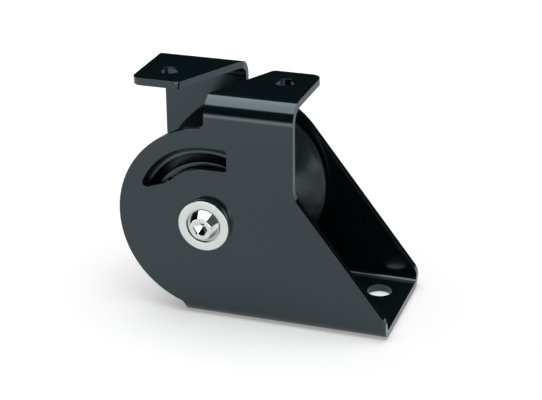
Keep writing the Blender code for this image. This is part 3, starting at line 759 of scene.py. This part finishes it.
head_base = recess_floor + HEAD_GAP
head_top = head_base + HEAD_HEIGHT
fall = math.degrees(math.atan2(HEAD_REACH - CROWN_REACH, HEAD_HEIGHT - HEAD_LAND))
corner_reach = KEY_SIZE / 2 / math.cos(math.pi / 6)
for end, side in (("near", -1), ("far", 1)):
    profile = [(0, head_top)]
    profile += fillet(CROWN_REACH - CROWN_ROUND, head_top - CROWN_ROUND, CROWN_ROUND, 90, fall, 10)
    profile += fillet(HEAD_REACH - EDGE_BREAK, head_base + HEAD_LAND, EDGE_BREAK, fall, 0, 3)
    profile += [(HEAD_REACH, head_base), (SHANK_RADIUS, head_base)]
    profile += [(SHANK_RADIUS, head_base - SHANK_LENGTH), (0, head_base - SHANK_LENGTH)]
    profile = [(out, side * along) for out, along in profile]
    screw = turned(f"button_screw_{end}", profile, polished)
    profile = [(0, head_top + KEY_PROUD), (corner_reach, head_top + KEY_PROUD)]
    profile += [(corner_reach, head_top - SOCKET_DEPTH), (0, head_top - SOCKET_TIP)]
    profile = [(out, side * along) for out, along in profile]
    key = turned(f"key_{end}", profile, polished, 6)
    cut = screw.modifiers.new("socket", "BOOLEAN")
    cut.operation = "DIFFERENCE"
    cut.solver = "EXACT"
    cut.object = key
    graph = bpy.context.evaluated_depsgraph_get()
    made = bpy.data.meshes.new_from_object(screw.evaluated_get(graph))
    screw.modifiers.clear()
    screw.data = made
    bpy.data.objects.remove(key, do_unlink=True)
    screw.data.set_sharp_from_angle(angle=SHARP_ANGLE)
    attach(screw, "cage")
    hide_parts(f"axle_screw_{end}")


# The studio: a white floor and surround, a large soft light overhead, cards in black,
# greys and white that only reflections show, and the camera.

WHITE = (1, 1, 1, 1)
WALL = 1.5
FLOOR_REACH = 4
FLOOR_LEVEL = -0.0002
LAMP_BRIGHTNESS = 2.43


def card(name, corners, finish):
    """A flat sheet of the studio."""
    mesh = bpy.data.meshes.new(name)
    mesh.from_pydata(corners, [], [tuple(range(len(corners)))])
    mesh.materials.append(finish)
    made = bpy.data.objects.new(name, mesh)
    bpy.context.scene.collection.objects.link(made)
    return made


def flag(name, corners, finish):
    """A card that only reflections show."""
    made = card(name, corners, finish)
    made.visible_camera = False
    made.visible_diffuse = False
    made.visible_shadow = False
    made.visible_transmission = False


def upright(x0, y0, x1, y1, low, high):
    """The corners of a card that stands on a line between two places."""
    return [(x0, y0, low), (x1, y1, low), (x1, y1, high), (x0, y0, high)]


def unlit(name):
    """A studio finish with nothing in it yet."""
    finish = bpy.data.materials.new(name)
    finish.use_nodes = True
    finish.node_tree.nodes.clear()
    return finish


def end_in(finish, shader):
    """Ends a studio finish in its last shader."""
    wired(finish, "ShaderNodeOutputMaterial", {"Surface": shader.outputs[0]})


def glow(name, colour, strength=1.0):
    """A finish that shines in one colour."""
    finish = unlit(name)
    end_in(finish, wired(finish, "ShaderNodeEmission", {"Color": (*colour, 1), "Strength": strength}))
    return finish


def in_sight(finish):
    """One for what the camera, a reflection or clear glass sees, and nought for other light."""
    rays = wired(finish, "ShaderNodeLightPath").outputs
    shown = rays["Is Camera Ray"]
    for kind in ("Is Glossy Ray", "Is Transmission Ray"):
        shown = reckoned(finish, "MAXIMUM", shown, rays[kind])
    return shown


# The floor shines by itself where it is seen, faintly under the block and fully a metre off,
# so that a soft shadow stays and the paper runs into the white surround.
floor_finish = unlit("white_floor")
away = wired(
    floor_finish, "ShaderNodeVectorMath", {0: on_object(floor_finish)}, operation="LENGTH"
).outputs["Value"]
whitening = spread(floor_finish, away, 0.30, 1.0, 0.15, 1.0)
lift = reckoned(floor_finish, "MULTIPLY", in_sight(floor_finish), whitening)
paper = wired(floor_finish, "ShaderNodeBsdfDiffuse", {"Color": (0.8, 0.8, 0.8, 1)})
light = wired(floor_finish, "ShaderNodeEmission", {"Color": WHITE, "Strength": lift})
both = wired(floor_finish, "ShaderNodeAddShader", {0: paper.outputs[0], 1: light.outputs[0]})
end_in(floor_finish, both)
corners = [(x, y, FLOOR_LEVEL) for x, y in (
    (-FLOOR_REACH, -FLOOR_REACH), (FLOOR_REACH, -FLOOR_REACH),
    (FLOOR_REACH, FLOOR_REACH), (-FLOOR_REACH, FLOOR_REACH),
)]
card("floor", corners, floor_finish)

dark = glow("black_card", (0, 0, 0), 0.0)
flag("back_card", upright(-WALL, WALL, WALL, WALL, 0.0, 2.4), dark)
flag("front_card", upright(-WALL, -WALL, WALL, -WALL, 0.03, 2.3), dark)
flag("left_card", upright(-0.45, -WALL, -0.45, WALL, 0.0, 0.6), dark)
flag("far_left_card", upright(-WALL, -WALL, -WALL, WALL, 0.0, 1.9), dark)
dark_grey = glow("dark_grey_card", (0.10, 0.12, 0.115))
corners = [(WALL, -WALL, 0), (WALL, -0.35, 0), (WALL, -0.15, 0.14)]
corners += [(WALL, WALL, 0.2), (WALL, WALL, 2.5), (WALL, -WALL, 2.5)]
flag("right_card", corners, dark_grey)

# The low card brightens from the floor up to 60 mm and fades out again at its top edge.
pale = unlit("pale_card")
height = wired(pale, "ShaderNodeSeparateXYZ", {"Vector": on_object(pale)}).outputs["Z"]
rise = spread(pale, height, 1.0, 3.05, 0.0, 0.060)
fade = spread(pale, height, 1.0, 0.0, 0.078, 0.136)
level = reckoned(pale, "MULTIPLY", rise, fade)
end_in(pale, wired(pale, "ShaderNodeEmission", {"Color": WHITE, "Strength": level}))
flag("low_card", upright(-1.4, -0.30, 1.4, -0.30, 0.0, 0.140), pale)

# Three grey cards lie on the floor, to the side of the block's long end.
grey = glow("grey_card", (0.56, 0.60, 0.66))
flag("floor_card", [(0.05, 0.11, 0), (0.13, 0.11, 0), (0.99, 1.4, 0), (0.2, 1.4, 0)], grey)
deep_grey = glow("deep_grey_card", (0.36, 0.42, 0.45))
flag("near_card", [(0.086, 0, 0), (0.13, -0.012, 0), (0.13, 0.035, 0), (0.086, 0.045, 0)], deep_grey)
flag("side_card", [(0.14, -0.06, 0), (0.27, -0.6, 0), (1.49, -0.9, 0), (1.49, -0.1, 0)], deep_grey)

lamp = bpy.data.lights.new("overhead", "AREA")
lamp.shape = "RECTANGLE"
lamp.size, lamp.size_y = 1.50, 1.28
lamp.energy = LAMP_BRIGHTNESS * math.pi * lamp.size * lamp.size_y
overhead = bpy.data.objects.new("overhead", lamp)
overhead.location = (-0.13, -0.045, 1.06)
bpy.context.scene.collection.objects.link(overhead)

world = bpy.data.worlds.new("studio")
bpy.context.scene.world = world
world.use_nodes = True
world.node_tree.nodes.clear()
strength = spread(world, in_sight(world), 0.1, 1.0, 0.0, 1.0)
sky = wired(world, "ShaderNodeBackground", {"Color": WHITE, "Strength": strength})
wired(world, "ShaderNodeOutputWorld", {"Surface": sky.outputs[0]})

azimuth, elevation, roll = math.radians(18.785), math.radians(23.729), math.radians(-0.548)
eye = Vector((0.225016, -0.604764, 0.325652))
back = Vector((
    math.sin(azimuth) * math.cos(elevation),
    -math.cos(azimuth) * math.cos(elevation),
    math.sin(elevation),
))
right = Vector((math.cos(azimuth), math.sin(azimuth), 0))
up = back.cross(right)
right, up = (
    right * math.cos(roll) + up * math.sin(roll),
    up * math.cos(roll) - right * math.sin(roll),
)
lens = bpy.data.cameras.new("camera")
lens.sensor_width = 36.0
lens.lens = 107.63
camera = bpy.data.objects.new("camera", lens)
turn = Matrix((right, up, back)).transposed().to_4x4()
camera.matrix_world = Matrix.Translation(eye) @ turn
bpy.context.scene.collection.objects.link(camera)
bpy.context.scene.camera = camera
bpy.context.scene.view_settings.view_transform = "Standard"
